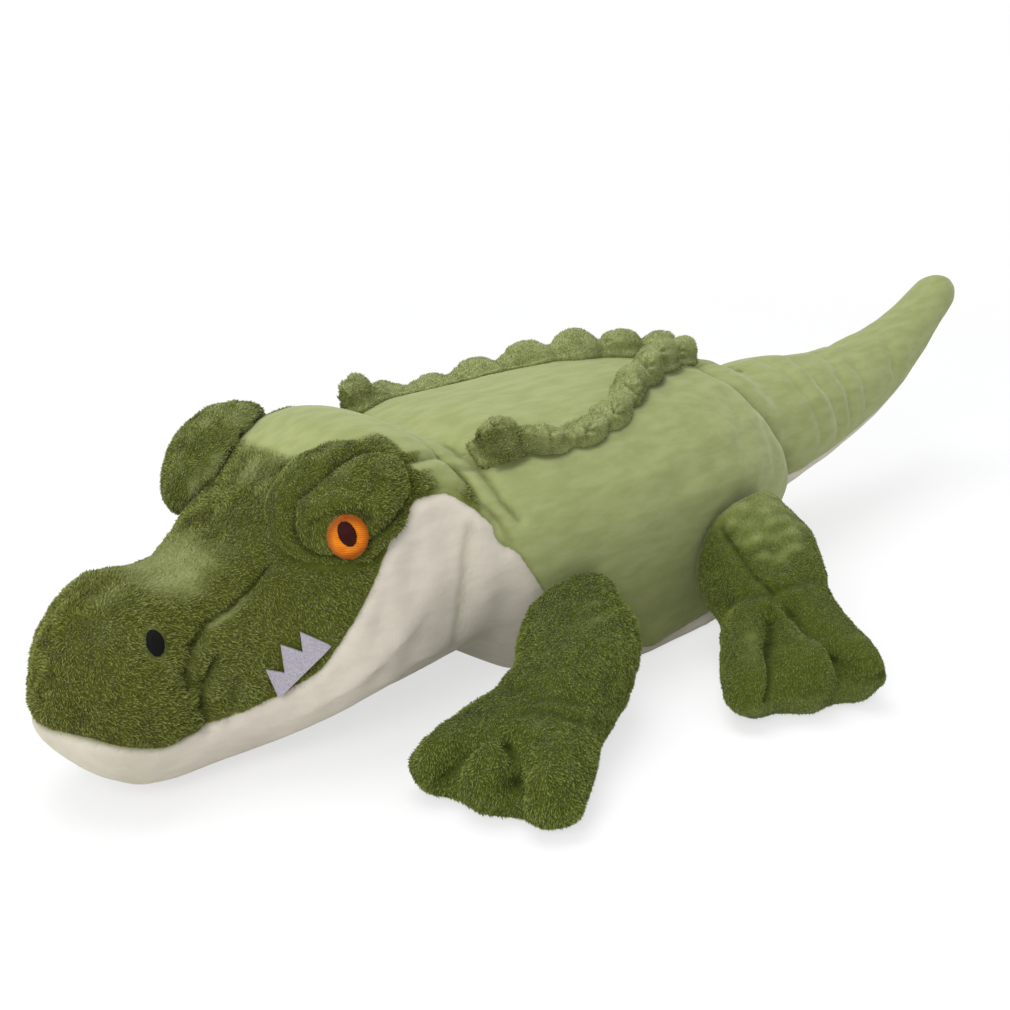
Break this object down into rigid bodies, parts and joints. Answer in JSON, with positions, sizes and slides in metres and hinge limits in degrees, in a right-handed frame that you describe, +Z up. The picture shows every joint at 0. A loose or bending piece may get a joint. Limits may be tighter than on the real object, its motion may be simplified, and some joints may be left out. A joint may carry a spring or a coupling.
{
  "type": "plush crocodile",
  "caption": "Stuffed plush crocodile lying on its belly, with a long snout, padded brows, embroidered eyes, cloth teeth, scute ridges along its back, and a soft head, legs and tail that swing.",
  "frame": {"origin": "middle of the belly, on the plane that the belly, chin and feet lie on", "axes": "the head looks along -Y, the animal's left is +X, +Z is up"},
  "size_m": [0.2944, 0.5657, 0.1171],
  "materials": {
    "green_plush": "short tufted pile, leaf green with paler tips",
    "leg_plush": "short tufted pile, leaf green",
    "sage_plush": "short dense pile, pale sage green",
    "cream_plush": "short dense pile, cream",
    "orange_thread": "satin-stitched embroidery thread",
    "dark_thread": "satin-stitched embroidery thread",
    "silver_cloth": "glittering silver-lilac cloth with a raw cut edge",
    "filling": "polyester fibre filling, not seen"
  },
  "bodies": {
    "torso": {"belly_panel": "cream_plush", "flank_left_panel": "sage_plush", "back_panel": "sage_plush", "flank_right_panel": "sage_plush", "torso_stuffing": "filling", "ridge_left": "sage_plush", "ridge_right": "sage_plush"},
    "head": {"head_panel": "green_plush", "jaw_panel": "cream_plush", "head_stuffing": "filling", "brow_left": "green_plush", "brow_right": "green_plush", "eye_left": "orange_thread", "eye_right": "orange_thread", "pupil_left": "dark_thread", "pupil_right": "dark_thread", "nostril_left": "dark_thread", "nostril_right": "dark_thread", "teeth_left": "silver_cloth", "teeth_right": "silver_cloth"},
    "tail": {"tail_panel": "sage_plush", "tail_underside_panel": "cream_plush", "tail_stuffing": "filling"},
    "foreleg_left": {"foreleg_left_panel": "leg_plush", "foreleg_left_sole": "leg_plush", "foreleg_left_stuffing": "filling"},
    "foreleg_right": {"foreleg_right_panel": "leg_plush", "foreleg_right_sole": "leg_plush", "foreleg_right_stuffing": "filling"},
    "hindleg_left": {"hindleg_left_panel": "leg_plush", "hindleg_left_sole": "leg_plush", "hindleg_left_stuffing": "filling"},
    "hindleg_right": {"hindleg_right_panel": "leg_plush", "hindleg_right_sole": "leg_plush", "hindleg_right_stuffing": "filling"}
  },
  "joints": [
    {"name": "neck_nod", "type": "hinge", "parent": "torso", "child": "head", "pos_m": [0, -0.074, 0.0595], "axis": [-1, 0, 0], "range_deg": [-8, 6], "stiffness_Nm_per_rad": 1.2},
    {"name": "tail_swing", "type": "hinge", "parent": "torso", "child": "tail", "pos_m": [0, 0.076, 0.0515], "axis": [0, 0, 1], "range_deg": [-20, 20], "stiffness_Nm_per_rad": 0.15},
    {"name": "foreleg_left_swing", "type": "hinge", "parent": "torso", "child": "foreleg_left", "pos_m": [0.05865, -0.06575, 0.03362], "axis": [-0.9781, 0, 0.2079], "range_deg": [-18, 20], "stiffness_Nm_per_rad": 0.06},
    {"name": "foreleg_right_swing", "type": "hinge", "parent": "torso", "child": "foreleg_right", "pos_m": [-0.05865, -0.06575, 0.03362], "axis": [-0.9781, 0, -0.2079], "range_deg": [-18, 20], "stiffness_Nm_per_rad": 0.06},
    {"name": "hindleg_left_swing", "type": "hinge", "parent": "torso", "child": "hindleg_left", "pos_m": [0.05967, 0.03775, 0.04042], "axis": [-0.9903, 0, 0.1392], "range_deg": [-18, 20], "stiffness_Nm_per_rad": 0.06},
    {"name": "hindleg_right_swing", "type": "hinge", "parent": "torso", "child": "hindleg_right", "pos_m": [-0.05967, 0.03775, 0.04042], "axis": [-0.9903, 0, -0.1392], "range_deg": [-18, 20], "stiffness_Nm_per_rad": 0.06}
  ]
}
